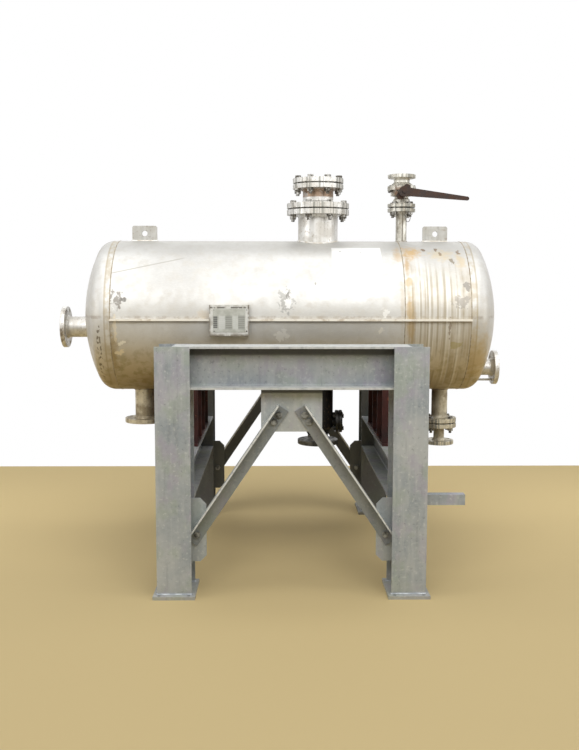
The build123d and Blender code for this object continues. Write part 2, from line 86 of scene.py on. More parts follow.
class Finish:
    """A material being made: a Principled shader and its patterns, on Object coordinates."""

    def __init__(self, name, metallic=0.0):
        self.material = bpy.data.materials.new(name)
        self.material.use_nodes = True
        self.nodes = self.material.node_tree.nodes
        self.links = self.material.node_tree.links
        self.shader = self.nodes["Principled BSDF"]
        self.shader.inputs["Metallic"].default_value = metallic
        coordinates = self.nodes.new("ShaderNodeTexCoord")
        self.place = coordinates.outputs["Object"]
        self.normal = coordinates.outputs["Normal"]
        split = self.nodes.new("ShaderNodeSeparateXYZ")
        self.links.new(self.place, split.inputs[0])
        self.x, self.y, self.z = split.outputs
        self.base = None

    def feed(self, socket, value):
        if isinstance(value, bpy.types.NodeSocket):
            self.links.new(value, socket)
        elif isinstance(value, tuple) and len(value) == 3 and socket.type == "RGBA":
            socket.default_value = (*value, 1.0)
        else:
            socket.default_value = value

    def stretched(self, stretch):
        """The place on the piece, packed closer along the axes that have a stretch above 1."""
        mapping = self.nodes.new("ShaderNodeMapping")
        self.links.new(self.place, mapping.inputs["Vector"])
        mapping.inputs["Scale"].default_value = stretch
        return mapping.outputs[0]

    def noise(self, scale, detail=3.0, stretch=(1.0, 1.0, 1.0)):
        """Noise from 0 to 1. A stretch above 1 on an axis packs the pattern closer along it."""
        place = self.stretched(stretch)
        noise = self.nodes.new("ShaderNodeTexNoise")
        self.links.new(place, noise.inputs["Vector"])
        noise.inputs["Scale"].default_value = scale
        noise.inputs["Detail"].default_value = detail
        noise.inputs["Roughness"].default_value = NOISE_ROUGHNESS
        return noise.outputs["Fac"]

    def cells(self, scale, stretch=(1.0, 1.0, 1.0)):
        """A random value for each cell of a broken pattern, such as zinc spangle."""
        place = self.stretched(stretch)
        cells = self.nodes.new("ShaderNodeTexVoronoi")
        self.links.new(place, cells.inputs["Vector"])
        cells.inputs["Scale"].default_value = scale
        grey = self.nodes.new("ShaderNodeRGBToBW")
        self.links.new(cells.outputs["Color"], grey.inputs[0])
        return grey.outputs[0]

    def math(self, kind, a, b=0.0):
        node = self.nodes.new("ShaderNodeMath")
        node.operation = kind
        self.feed(node.inputs[0], a)
        self.feed(node.inputs[1], b)
        return node.outputs[0]

    def plus(self, a, b):
        return self.math("ADD", a, b)

    def minus(self, a, b):
        return self.math("SUBTRACT", a, b)

    def times(self, a, b):
        return self.math("MULTIPLY", a, b)

    def apart(self, a, b):
        return self.math("ABSOLUTE", self.minus(a, b))

    def fade(self, value, start, end, low_value=0.0, high_value=1.0):
        """Smooth change from low_value at start to high_value at end."""
        node = self.nodes.new("ShaderNodeMapRange")
        node.interpolation_type = "SMOOTHSTEP"
        self.feed(node.inputs["Value"], value)
        node.inputs["From Min"].default_value = start
        node.inputs["From Max"].default_value = end
        node.inputs["To Min"].default_value = low_value
        node.inputs["To Max"].default_value = high_value
        return node.outputs[0]

    def band(self, value, middle, half, soft):
        """1 where value is within half of middle, falling to 0 over soft."""
        return self.fade(self.apart(value, middle), half, half + soft, 1.0, 0.0)

    def mix(self, factor, a, b):
        node = self.nodes.new("ShaderNodeMix")
        node.data_type = "RGBA"
        self.feed(node.inputs["Factor"], factor)
        self.feed(node.inputs[6], a)
        self.feed(node.inputs[7], b)
        return node.outputs[2]

    def lay(self, cover, strength, tint):
        """Lays a tint over the base colour, as strongly as given where the cover is 1."""
        if strength < 1.0:
            cover = self.times(cover, strength)
        self.base = self.mix(cover, self.base, tint)

    def facing(self):
        """How far the surface faces along X, Y and Z."""
        split = self.nodes.new("ShaderNodeSeparateXYZ")
        self.links.new(self.normal, split.inputs[0])
        return split.outputs

    def blot(self, spot, size, ragged, noise, soft=0.25):
        """1 inside an uneven blot at spot, with half sizes along X, Y and Z."""
        mapping = self.nodes.new("ShaderNodeMapping")
        mapping.vector_type = "TEXTURE"
        self.links.new(self.place, mapping.inputs["Vector"])
        mapping.inputs["Location"].default_value = spot
        mapping.inputs["Scale"].default_value = size
        length = self.nodes.new("ShaderNodeVectorMath")
        length.operation = "LENGTH"
        self.links.new(mapping.outputs[0], length.inputs[0])
        uneven = self.times(self.minus(noise, 0.5), ragged)
        edge = self.plus(length.outputs["Value"], uneven)
        return self.fade(edge, 1.0 - soft, 1.0, 1.0, 0.0)

    def spots(self, blots, soft=0.3):
        """Lays ragged blots, each one a spot, half sizes, raggedness, strength and tint."""
        noise = self.noise(42.0, 6.0)
        for spot, size, ragged, strength, tint in blots:
            self.lay(self.blot(spot, size, ragged, noise, soft), strength, tint)

    def rough(self, value):
        self.feed(self.shader.inputs["Roughness"], value)

    def rough_with(self, pattern, low_value, high_value):
        """Roughness from low_value to high_value, following a pattern."""
        self.rough(self.fade(pattern, *PATTERN_MIDDLE, low_value, high_value))

    def bump(self, height, distance, strength):
        node = self.nodes.new("ShaderNodeBump")
        node.inputs["Strength"].default_value = strength
        node.inputs["Distance"].default_value = distance
        self.feed(node.inputs["Height"], height)
        if self.shader.inputs["Normal"].links:
            self.links.new(self.shader.inputs["Normal"].links[0].from_socket, node.inputs["Normal"])
        self.links.new(node.outputs[0], self.shader.inputs["Normal"])

    def done(self):
        self.feed(self.shader.inputs["Base Color"], self.base)
        return self.material


def on_shell(x, up):
    """A point on the shell's front, up above its axis."""
    return (x, -sqrt(SHELL_R ** 2 - up ** 2), AXIS_Z + up)


def scaled(tint, factor):
    """A lighter or darker tint."""
    return tuple(min(factor * part, 1.0) for part in tint)


PALE_STEEL = (0.69, 0.685, 0.66)
DULL_STEEL = (0.53, 0.52, 0.495)
BROWN = (0.20, 0.13, 0.07)
CHALK = (0.86, 0.85, 0.82)


def rolled_stainless(name):
    """Dull rolled sheet: cloudy, faintly streaked, dirtier and browner towards the underside."""
    finish = Finish(name, 0.4)
    clouds = finish.noise(2.6, 5.0)
    grain = finish.noise(70.0, 3.0, (1.0, 1.0, 4.0))
    runs = finish.noise(16.0, 4.0, (1.0, 1.0, 0.08))
    mottle = finish.noise(22.0, 5.0)
    finish.base = finish.mix(finish.fade(clouds, 0.35, 0.7), PALE_STEEL, DULL_STEEL)
    finish.lay(finish.fade(runs, 0.5, 0.72), 0.35, DULL_STEEL)
    finish.lay(finish.fade(mottle, 0.45, 0.68), 0.4, (0.56, 0.53, 0.47))
    finish.lay(finish.fade(grain, 0.4, 0.75), 0.15, CHALK)

    # A warm haze down to the side bar, and a little grey all below it
    near_bar = finish.times(finish.fade(finish.z, AXIS_Z + 0.14, AXIS_Z),
                            finish.fade(clouds, 0.3, 0.6, 0.3, 0.8))
    finish.lay(near_bar, 0.35, (0.60, 0.55, 0.44))
    below_bar = finish.fade(finish.z, BAR_Z + 0.002, BAR_Z - 0.004, 0.0, 0.06)
    finish.lay(below_bar, 1.0, (0.36, 0.34, 0.30))

    # Greyer at the crown as painted shade, and tan, olive and brown on the underside
    crown = finish.fade(finish.z, AXIS_Z + 0.30, AXIS_Z + 0.40)
    finish.lay(crown, 0.75, (0.44, 0.43, 0.40))
    # Tan and olive on the underside: dirt, partly a painted reflection of the floor
    under = finish.fade(finish.z, AXIS_Z - 0.06, AXIS_Z - 0.28)
    dirt = finish.times(under, finish.fade(clouds, 0.25, 0.6, 0.5, 0.85))
    finish.lay(dirt, 1.0, (0.52, 0.42, 0.25))
    olive = finish.times(under, finish.fade(mottle, 0.45, 0.65))
    finish.lay(olive, 0.6, (0.29, 0.24, 0.10))
    # Browner and darker towards the bottom: dirt and painted shade
    deep = finish.fade(finish.z, AXIS_Z - 0.24, AXIS_Z - 0.42)
    finish.lay(deep, 0.45, (0.24, 0.17, 0.08))

    # A painted shadow line under the bar's lower edge, and brown dirt along its upper edge
    shade = finish.times(finish.band(finish.z, BAR_Z - 0.009, 0.002, 0.004),
                         finish.band(finish.x, MIDDLE, HEAD_SEAM - 0.004, 0.004))
    finish.lay(shade, 0.5, (0.14, 0.09, 0.05))
    above_bar = finish.times(finish.band(finish.z, BAR_Z + 0.012, 0.004, 0.008),
                             finish.fade(mottle, 0.4, 0.6))
    finish.lay(above_bar, 0.35, BROWN)
    finish.rough(finish.fade(mottle, 0.3, 0.75, 0.42, 0.55))
    finish.bump(grain, 0.0004, 0.25)
    finish.bump(clouds, 0.004, 0.12)
    return finish, mottle


def long_course_finish():
    """The long course: a worn white patch, stains, torn patches and a scratch on its front."""
    finish, mottle = rolled_stainless("rolled_stainless_long_course")

    # A worn white patch near the crown, and wide soft stains
    patch = finish.times(finish.band(finish.x, 0.352, 0.128, 0.006),
                         finish.band(finish.z, AXIS_Z + 0.30, 0.066, 0.006))
    worn = finish.times(finish.fade(mottle, 0.68, 0.60), finish.fade(finish.y, 0.0, -0.1))
    patch = finish.times(patch, worn)
    finish.lay(patch, 0.85, (0.96, 0.96, 0.94))
    finish.spots([
        (on_shell(0.34, 0.17), (0.20, 0.12, 0.10), 0.8, 0.6, (0.93, 0.93, 0.91)),
        (on_shell(0.57, 0.33), (0.035, 0.10, 0.09), 1.5, 0.6, (0.55, 0.38, 0.18)),
        (on_shell(0.58, 0.10), (0.018, 0.10, 0.22), 1.0, 0.35, (0.45, 0.34, 0.18)),
        (on_shell(-0.70, -0.33), (0.16, 0.12, 0.07), 1.5, 0.5, (0.30, 0.21, 0.08)),
        (on_shell(-0.925, -0.18), (0.040, 0.16, 0.26), 1.6, 0.75, (0.34, 0.25, 0.11)),
        (on_shell(-0.45, 0.02), (0.05, 0.04, 0.035), 2.0, 0.6, (0.62, 0.54, 0.42)),
        (on_shell(0.10, 0.07), (0.03, 0.04, 0.03), 2.0, 0.5, (0.50, 0.46, 0.40)),
    ], 0.8)

    # Torn patches with pale rims, and dark specks
    finish.spots([
        (on_shell(-0.895, 0.090), (0.036, 0.05, 0.045), 4.0, 0.95, (0.30, 0.28, 0.25)),
        (on_shell(-0.908, 0.062), (0.018, 0.05, 0.025), 4.0, 0.6, CHALK),
        (on_shell(-0.860, 0.096), (0.020, 0.03, 0.013), 3.5, 0.8, (0.16, 0.15, 0.13)),
        (on_shell(-0.904, -0.05), (0.012, 0.04, 0.060), 4.0, 0.6, (0.80, 0.72, 0.55)),
        (on_shell(-0.858, -0.125), (0.024, 0.03, 0.014), 5.0, 0.8, (0.88, 0.84, 0.72)),
        (on_shell(-0.895, -0.180), (0.028, 0.03, 0.014), 5.0, 0.8, (0.78, 0.68, 0.48)),
        (on_shell(-0.02, 0.080), (0.038, 0.06, 0.062), 4.5, 0.9, (0.38, 0.37, 0.34)),
        (on_shell(-0.015, 0.115), (0.012, 0.05, 0.022), 4.0, 0.7, (0.16, 0.15, 0.13)),
        (on_shell(-0.012, 0.080), (0.022, 0.05, 0.030), 4.5, 0.7, CHALK),
        (on_shell(-0.045, -0.085), (0.036, 0.05, 0.030), 4.5, 0.7, (0.78, 0.76, 0.70)),
        (on_shell(0.490, 0.02), (0.016, 0.05, 0.030), 5.0, 0.6, (0.90, 0.88, 0.82)),
        (on_shell(0.468, -0.055), (0.014, 0.05, 0.018), 5.0, 0.6, (0.80, 0.76, 0.66)),
        (on_shell(0.46, 0.275), (0.008, 0.03, 0.008), 3.0, 0.5, (0.30, 0.28, 0.25)),
        (on_shell(0.13, 0.18), (0.006, 0.03, 0.007), 3.0, 0.6, (0.25, 0.22, 0.18)),
    ])

    # A long thin scratch that rises to the right
    slope = finish.minus(finish.z, finish.times(finish.x, 0.214))
    scratch = finish.times(finish.band(slope, AXIS_Z + 0.431, 0.0012, 0.003),
                           finish.band(finish.x, -0.75, 0.16, 0.05))
    scratch = finish.times(scratch, finish.fade(finish.y, -0.1, -0.2))
    finish.lay(scratch, 0.6, (0.34, 0.31, 0.26))
    return finish.done()


END_COURSE_LINES = (  # place along the vessel and half width
    (0.633, 0.003), (0.674, 0.003), (0.711, 0.002), (0.731, 0.004), (0.762, 0.003),
    (0.799, 0.004), (0.835, 0.003), (0.866, 0.002), (0.897, 0.003))


def end_course_finish():
    """The short course: brown and grey lines round it, and a brown stain beside the girth seam."""
    finish, _ = rolled_stainless("rolled_stainless_end_course")
    fine = finish.noise(46.0, 2.0, (1.0, 0.02, 0.02))
    patchy = finish.fade(finish.noise(9.0, 4.0, (1.0, 1.0, 0.35)), 0.34, 0.56)
    height = finish.fade(finish.z, AXIS_Z + 0.34, AXIS_Z + 0.16)
    finish.lay(height, 0.22, (0.58, 0.50, 0.34))
    runs = finish.times(finish.fade(fine, 0.52, 0.62), finish.times(height, patchy))
    finish.lay(runs, 0.5, (0.36, 0.28, 0.17))
    pale = finish.times(finish.fade(fine, 0.44, 0.36), finish.times(height, patchy))
    finish.lay(pale, 0.35, CHALK)

    # Brown lines round the course, wide soft stains, then torn patches and specks
    for x, half in END_COURSE_LINES:
        line = finish.times(finish.band(finish.x, x, half, 0.004), finish.times(height, patchy))
        finish.lay(line, 0.65, (0.34, 0.28, 0.18))
    finish.spots([
        (on_shell(0.64, 0.34), (0.075, 0.12, 0.055), 2.0, 0.75, (0.60, 0.38, 0.13)),
        (on_shell(0.612, 0.28), (0.022, 0.10, 0.16), 1.2, 0.7, (0.45, 0.28, 0.10)),
        (on_shell(0.622, -0.02), (0.032, 0.12, 0.22), 1.2, 0.75, (0.46, 0.33, 0.16)),
        (on_shell(0.80, 0.33), (0.10, 0.10, 0.05), 2.0, 0.45, (0.66, 0.52, 0.28)),
        (on_shell(0.90, 0.30), (0.035, 0.10, 0.08), 2.0, 0.5, (0.60, 0.46, 0.24)),
    ], 0.9)
    finish.spots([
        (on_shell(0.617, 0.190), (0.022, 0.04, 0.030), 1.2, 0.6, (0.56, 0.42, 0.22)),
        (on_shell(0.615, 0.050), (0.022, 0.03, 0.048), 1.5, 0.5, (0.56, 0.42, 0.24)),
        (on_shell(0.712, 0.359), (0.010, 0.03, 0.011), 3.0, 0.8, BROWN),
        (on_shell(0.777, 0.359), (0.010, 0.03, 0.010), 3.0, 0.8, BROWN),
        (on_shell(0.798, 0.337), (0.009, 0.03, 0.010), 3.0, 0.7, BROWN),
        (on_shell(0.853, 0.299), (0.013, 0.03, 0.014), 4.0, 0.8, (0.24, 0.20, 0.14)),
        (on_shell(0.893, 0.345), (0.010, 0.03, 0.010), 4.0, 0.7, BROWN),
        (on_shell(0.916, 0.166), (0.022, 0.03, 0.022), 4.0, 0.8, (0.26, 0.24, 0.21)),
        (on_shell(0.885, 0.090), (0.045, 0.03, 0.032), 5.0, 0.7, (0.34, 0.31, 0.27)),
        (on_shell(0.858, -0.137), (0.035, 0.03, 0.018), 4.0, 0.6, (0.40, 0.34, 0.14)),
        (on_shell(0.826, -0.060), (0.006, 0.03, 0.050), 4.0, 0.6, BROWN),
    ])
    return finish.done()


def head_finish():
    """Dished heads: brown lines at the seam, dents at the left one, a painted dark reflection towards
    the tips.
    """
    finish, mottle = rolled_stainless("dished_head_stainless")
    side = finish.apart(finish.x, MIDDLE)
    # Painted dark reflection round the heads' tips
    tip_reflection = finish.times(finish.fade(side, 1.096, 1.118), finish.fade(mottle, 0.3, 0.5, 0.6, 1.0))
    finish.lay(tip_reflection, 0.6, (0.26, 0.27, 0.23))
    tangent = finish.band(side, HEAD_SEAM + 0.029, 0.002, 0.004)
    finish.lay(tangent, 0.5, (0.34, 0.26, 0.14))
    band = finish.times(finish.band(side, HEAD_SEAM + 0.013, 0.014, 0.006),
                        finish.fade(mottle, 0.4, 0.6))
    finish.lay(band, 0.5, (0.48, 0.40, 0.26))
    ragged = finish.noise(30.0, 4.0)
    stain = finish.blot((0.98, -0.34, AXIS_Z - 0.22), (0.14, 0.25, 0.22), 1.5, ragged, 0.9)
    finish.lay(stain, 0.6, (0.50, 0.37, 0.17))
    dents = finish.cells(85.0, (1.0, 1.0, 0.7))
    column = finish.blot((-0.993, -0.31, AXIS_Z - 0.17), (0.015, 0.20, 0.20), 0.6, ragged)
    dimples = finish.times(column, finish.fade(dents, 0.62, 0.70))
    finish.lay(dimples, 0.8, (0.14, 0.11, 0.07))
    finish.bump(finish.times(dimples, -1.0), 0.002, 0.4)
    return finish.done()


def bar_finish():
    """The side bars: bright ground edge, its paleness partly a painted reflection, with dirt in
    places.
    """
    finish = Finish("side_bar_stainless", 0.55)
    dirt = finish.noise(20.0, 5.0)
    # Pale base colour: partly a painted reflection
    finish.base = (0.84, 0.80, 0.70)
    finish.lay(finish.fade(dirt, 0.5, 0.68), 0.6, (0.46, 0.36, 0.24))
    finish.rough_with(dirt, 0.42, 0.6)
    return finish.done()


def fitting_finish(name, tint=(0.77, 0.76, 0.73), dirt=(0.40, 0.36, 0.29), amount=0.45,
                   metallic=0.6, stained_at=None, blots=(), rims=None):
    """Turned and cast stainless: bright, with faint upright streaks, dirt and specks.

    Rims, given as their upright axis's x and a radius, get bolder upright streaks outside that
    radius. Stained_at is the middle height and the half height of a rusty band.
    """
    finish = Finish(name, metallic)
    clouds = finish.noise(14.0, 4.0)
    specks = finish.noise(90.0, 2.0)
    streaks = finish.noise(75.0, 2.0, (1.0, 1.0, 0.03))
    finish.base = tint
    finish.lay(finish.fade(streaks, 0.42, 0.62), 0.3, scaled(tint, 0.6))
    finish.lay(finish.fade(clouds, 0.4, 0.62), amount, dirt)
    finish.lay(finish.fade(specks, 0.6, 0.7), 0.5, BROWN)
    if rims:
        axis_x, radius = rims
        away = finish.minus(finish.x, axis_x)
        square = finish.plus(finish.times(away, away), finish.times(finish.y, finish.y))
        outside = finish.fade(square, radius ** 2, (radius + 0.008) ** 2)
        bands = finish.fade(finish.noise(95.0, 1.0, (1.0, 1.0, 0.02)), 0.52, 0.60)
        finish.lay(finish.times(outside, bands), 0.8, (0.24, 0.24, 0.21))
    if stained_at:
        ring = finish.band(finish.z, *stained_at, 0.008)
        stain = finish.times(ring, finish.fade(finish.noise(24.0, 4.0), 0.36, 0.52, 0.35, 0.95))
        finish.lay(stain, 1.0, (0.30, 0.20, 0.13))
    if blots:
        finish.spots(blots, 0.7)
    finish.rough_with(clouds, 0.36, 0.52)
    finish.bump(specks, 0.0004, 0.3)
    return finish.done()


def galvanised_finish(name="galvanised_steel", shaded_tops=(), tone=(0.36, 0.38, 0.40), amount=0.0,
                      highlit_slope=None, inner_shade=0.78, highlit_edges=()):
    """Weathered zinc: blue, mauve and green-grey mottling, spangle, runs and specks, and spotty
    painted highlights.

    The amount of a tone shifts all of it. A shaded top is a height under a flange, where a painted
    shadow hangs, and how far it reaches down. A highlit slope is the start and the slope of sloping
    edges given a painted highlight, and highlit edges are heights of painted highlights. Inner shade
    is painted shade on the inner faces of all that stands behind the front legs.
    """
    finish = Finish(name, 0.1)
    clouds = finish.noise(3.4, 5.0)
    tones = finish.noise(11.0, 6.0, (1.0, 1.0, 0.6))
    greens = finish.noise(7.0, 5.0)
    streaks = finish.noise(34.0, 4.0, (1.0, 1.0, 0.10))
    speckle = finish.noise(55.0, 5.0)
    spangle = finish.cells(75.0)
    finish.base = finish.mix(finish.fade(clouds, 0.38, 0.62),
                             (0.31, 0.345, 0.37), (0.45, 0.47, 0.47))
    finish.lay(finish.fade(tones, 0.5, 0.62), 0.65, (0.38, 0.355, 0.43))
    finish.lay(finish.fade(greens, 0.52, 0.64), 0.6, (0.33, 0.385, 0.325))
    finish.lay(finish.fade(streaks, 0.5, 0.66), 0.4, (0.50, 0.52, 0.51))
    finish.lay(finish.fade(streaks, 0.42, 0.30), 0.35, (0.22, 0.235, 0.24))
    finish.lay(finish.fade(spangle, 0.2, 0.8), 0.2, (0.50, 0.53, 0.54))
    finish.lay(finish.fade(speckle, 0.56, 0.68), 0.5, (0.60, 0.62, 0.60))
    finish.lay(finish.fade(speckle, 0.40, 0.30), 0.45, (0.16, 0.17, 0.17))
    finish.lay(amount, 1.0, tone)
    facing_x, facing_y, facing_z = finish.facing()
    # Painted shade on faces behind the front legs, except those facing back, outward or up
    inner = finish.times(finish.fade(finish.y, -0.76, -0.52), finish.fade(facing_y, 0.9, 0.5))
    outward = finish.times(facing_x, finish.x)
    inner = finish.times(inner, finish.fade(outward, 0.5, 0.2))
    inner = finish.times(inner, finish.fade(facing_z, 0.9, 0.5))
    finish.lay(inner, inner_shade, (0.036, 0.038, 0.034))
    # Painted shadow under each flange, with a ragged lower edge
    for height, reach in shaded_tops:
        flange_shadow = finish.fade(finish.z, height - reach, height - 0.5 * reach)
        flange_shadow = finish.times(flange_shadow, finish.fade(finish.z, height + 0.001, height))
        uneven = finish.plus(flange_shadow, finish.minus(speckle, 0.5))
        edge = finish.fade(uneven, 0.2, 0.7)
        finish.lay(finish.times(flange_shadow, edge), 0.9, (0.05, 0.05, 0.045))
    # Painted highlight along the braces' sloping edges
    if highlit_slope:
        start_x, start_z, slope = highlit_slope
        out = finish.minus(finish.math("ABSOLUTE", finish.x), start_x)
        up = finish.minus(finish.z, start_z)
        across = finish.plus(finish.times(out, sin(slope)), finish.times(up, cos(slope)))
        edge_highlight = finish.times(finish.fade(across, -0.009, -0.005),
                              finish.fade(speckle, 0.3, 0.5, 0.5, 1.0))
        finish.lay(edge_highlight, 0.9, (0.78, 0.80, 0.78))
    # Painted highlight along flange edges
    for height in highlit_edges:
        edge_highlight = finish.times(finish.band(finish.z, height, 0.005, 0.001),
                              finish.fade(streaks, 0.3, 0.6, 0.5, 1.0))
        finish.lay(edge_highlight, 0.7, (0.70, 0.71, 0.68))
    dust = finish.fade(finish.z, 0.10, 0.0)
    finish.lay(dust, 0.3, (0.42, 0.37, 0.28))
    finish.rough(finish.fade(spangle, 0.0, 1.0, 0.5, 0.65))
    finish.bump(spangle, 0.0003, 0.2)
    finish.bump(tones, 0.002, 0.1)
    return finish.done()


def gasket_finish():
    finish = Finish("black_gasket")
    worn = finish.noise(60.0)
    finish.base = finish.mix(worn, (0.012, 0.012, 0.012), (0.05, 0.048, 0.045))
    finish.rough_with(worn, 0.7, 0.85)
    return finish.done()


def primer_finish():
    # Red primer darkened near black as painted shade under the vessel, with paler scuffs
    finish = Finish("red_primer")
    clouds = finish.noise(8.0, 4.0)
    finish.base = finish.mix(finish.fade(clouds, 0.35, 0.7),
                             (0.065, 0.009, 0.006), (0.018, 0.005, 0.004))
    scuffs = finish.fade(finish.noise(24.0, 5.0), 0.66, 0.72)
    finish.lay(scuffs, 0.4, (0.40, 0.12, 0.05))
    finish.rough_with(clouds, 0.6, 0.75)
    finish.bump(scuffs, 0.0006, 0.3)
    return finish.done()


def rusty_iron_finish():
    finish = Finish("rusty_iron", 0.2)
    clouds = finish.noise(30.0, 5.0)
    pits = finish.noise(140.0, 3.0)
    finish.base = finish.mix(finish.fade(clouds, 0.35, 0.68),
                             (0.030, 0.020, 0.017), (0.075, 0.042, 0.030))
    finish.lay(finish.fade(pits, 0.58, 0.7), 0.5, (0.13, 0.065, 0.035))
    finish.rough_with(clouds, 0.6, 0.85)
    finish.bump(pits, 0.0008, 0.5)
    return finish.done()


def cloudy_finish(name, metallic, scale, detail, spread, tints, roughness, relief):
    """Two tints in clouds, with roughness and relief that follow them."""
    finish = Finish(name, metallic)
    clouds = finish.noise(scale, detail)
    finish.base = finish.mix(finish.fade(clouds, *spread), *tints)
    finish.rough_with(clouds, *roughness)
    finish.bump(clouds, *relief)
    return finish.done()


def weld_finish(name, pale, scorch, metallic=0.6):
    return cloudy_finish(name, metallic, 35.0, 4.0, (0.35, 0.65), (pale, scorch),
                         (0.4, 0.6), (0.0005, 0.4))


def bracket_finish():
    """The nameplate's bracket: pale sheet with dirty edges and dark dashes along its top lip."""
    start, end = low("nameplate_bracket"), high("nameplate_bracket")
    middle = (start + end) / 2
    finish = Finish("bracket_stainless", 0.4)
    dirt = finish.noise(40.0, 5.0)
    finish.base = finish.mix(finish.fade(dirt, 0.4, 0.65), (0.72, 0.71, 0.66), (0.52, 0.50, 0.44))
    half_width = (end.x - start.x) / 2
    away = finish.apart(finish.x, middle.x)
    sides = finish.fade(away, half_width - 0.010, half_width - 0.002)
    bottom = finish.fade(finish.z, start.z + 0.014, start.z + 0.004)
    edges = finish.times(finish.math("MAXIMUM", sides, bottom), finish.fade(dirt, 0.3, 0.5))
    finish.lay(edges, 0.75, (0.16, 0.13, 0.09))
    lip = finish.band(finish.z, end.z - 0.013, 0.003, 0.002)
    dashes = finish.fade(finish.noise(60.0, 2.0, (1.0, 0.1, 0.1)), 0.46, 0.52)
    finish.lay(finish.times(lip, dashes), 0.85, (0.10, 0.09, 0.07))
    finish.rough_with(dirt, 0.45, 0.6)
    return finish.done()


PLATE_COLUMNS = (  # middle x and z, half sizes, tint, strength
    (-0.070, -0.008, 0.010, 0.030, (0.11, 0.11, 0.10), 0.85),
    (-0.038, -0.010, 0.015, 0.034, (0.70, 0.70, 0.66), 0.6),
    (-0.002, -0.010, 0.016, 0.034, (0.24, 0.24, 0.21), 0.7),
    (0.032, -0.010, 0.012, 0.034, (0.66, 0.67, 0.62), 0.6),
    (0.063, -0.010, 0.016, 0.034, (0.24, 0.24, 0.21), 0.7),
)


def nameplate_finish():
    """Aged bare plate with a generic ruled table, blank of any wording."""
    plate = centre("nameplate")
    finish = Finish("bare_nameplate", 0.4)
    dull = finish.noise(30.0, 4.0)
    finish.base = finish.mix(finish.fade(dull, 0.35, 0.7), (0.56, 0.56, 0.50), (0.44, 0.44, 0.38))
    across = finish.minus(finish.x, plate.x)
    up = finish.minus(finish.z, plate.z)
    for x, z, half_x, half_z, tint, strength in PLATE_COLUMNS:
        cell = finish.times(finish.band(across, x, half_x, 0.001),
                            finish.band(up, z, half_z, 0.001))
        finish.lay(cell, strength, tint)
    steps = finish.math("PINGPONG", finish.plus(up, 1.0), 0.005)
    rows = finish.band(steps, 0.0, 0.0008, 0.0008)
    inner = finish.times(finish.band(across, 0.0, 0.080, 0.001),
                         finish.band(up, -0.010, 0.034, 0.001))
    finish.lay(finish.times(rows, inner), 0.5, (0.55, 0.55, 0.50))
    finish.rough_with(dull, 0.42, 0.58)
    return finish.done()


def paint(material, *nodes):
    """Gives CAD nodes their finish."""
    for node in nodes:
        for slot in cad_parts[node].material_slots:
            slot.material = material


# Upright axes and radii outside which flange rims are streaked
top_rims = (centre("top_nozzle").x, 0.122)
hub = centre("valve_gland")
valve_rims = (hub.x, 0.060)
drain_rims = (centre("drain_spool").x, 0.058)

long_course = long_course_finish()
end_course = end_course_finish()
heads = head_finish()
fittings = fitting_finish("machined_fittings")
top_fittings = fitting_finish("top_fittings", rims=top_rims)
stained_fittings = fitting_finish(
    "stained_fittings", stained_at=(centre("top_spool").z + 0.018, 0.018), rims=top_rims)
valve_metal = fitting_finish(
    "valve_metal", tint=(0.72, 0.70, 0.63), dirt=(0.20, 0.17, 0.11), amount=0.7, rims=valve_rims,
    blots=[
        # A dark brown blot round the hub, partly rust and partly painted shade under it; then a drip
        # line down the pipe
        ((hub.x - 0.015, hub.y, hub.z - 0.004), (0.070, 0.10, 0.050), 1.8, 0.9, (0.17, 0.09, 0.05)),
        ((hub.x + 0.003, -0.03, hub.z - 0.20), (0.005, 0.03, 0.17), 0.6, 0.9, (0.12, 0.10, 0.07)),
    ])
lug_metal = fitting_finish(
    "lug_metal", tint=(0.56, 0.55, 0.51), dirt=(0.44, 0.42, 0.37), amount=0.6, metallic=0.3)
low_fittings = fitting_finish(
    "low_fittings", tint=(0.72, 0.65, 0.48), dirt=(0.20, 0.15, 0.08), amount=0.75, metallic=0.45)
drain_right_metal = fitting_finish(
    "drain_right_metal", tint=(0.74, 0.69, 0.55), dirt=(0.22, 0.17, 0.09), amount=0.6,
    metallic=0.45, rims=drain_rims)
# Dark grey for the boot's outlet and near black for the boot: painted shade on stainless under the
# vessel
grey_fittings = fitting_finish(
    "grey_fittings", tint=(0.34, 0.34, 0.32), dirt=(0.022, 0.022, 0.020), amount=0.9, metallic=0.3)
shade_dark_fittings = fitting_finish(
    "painted_shade_fittings", tint=(0.016, 0.015, 0.014), dirt=(0.008, 0.008, 0.007), amount=0.8,
    metallic=0.1)
left_end = low("head_nozzle_left").x
left_z = centre("head_nozzle_left").z
left_nozzle_metal = fitting_finish("left_nozzle_metal", blots=[
    ((left_end + 0.010, -0.09, left_z - 0.035), (0.020, 0.06, 0.050), 2.0, 0.8, (0.16, 0.12, 0.08)),
    ((left_end + 0.030, -0.05, left_z + 0.085), (0.030, 0.06, 0.018), 2.0, 0.6, (0.20, 0.16, 0.12)),
])

galvanised = galvanised_finish()
galvanised_braces = galvanised_finish(
    "galvanised_braces", tone=(0.11, 0.115, 0.10), amount=0.48,
    highlit_slope=(BRACE_TOP_X, high("braces").z, BRACE_SLOPE))
beam_top = high("top_beam_front").z - SECTION_FLANGE
beam_foot = low("top_beam_front").z
galvanised_beams = galvanised_finish(
    "galvanised_beams", [(beam_top, 0.050)], tone=(0.18, 0.185, 0.18), amount=0.24, inner_shade=0.0,
    highlit_edges=(beam_top + 0.005, beam_foot + 0.005))
galvanised_gussets = galvanised_finish(
    "galvanised_gussets", [(high("gussets").z, 0.035)], tone=(0.62, 0.63, 0.56), amount=0.25)

rusty_iron = rusty_iron_finish()
black_fitting = cloudy_finish(
    "black_fitting", 0.3, 26.0, 4.0, (0.4, 0.7), ((0.010, 0.010, 0.010), (0.045, 0.042, 0.038)),
    (0.32, 0.5), (0.0006, 0.3))
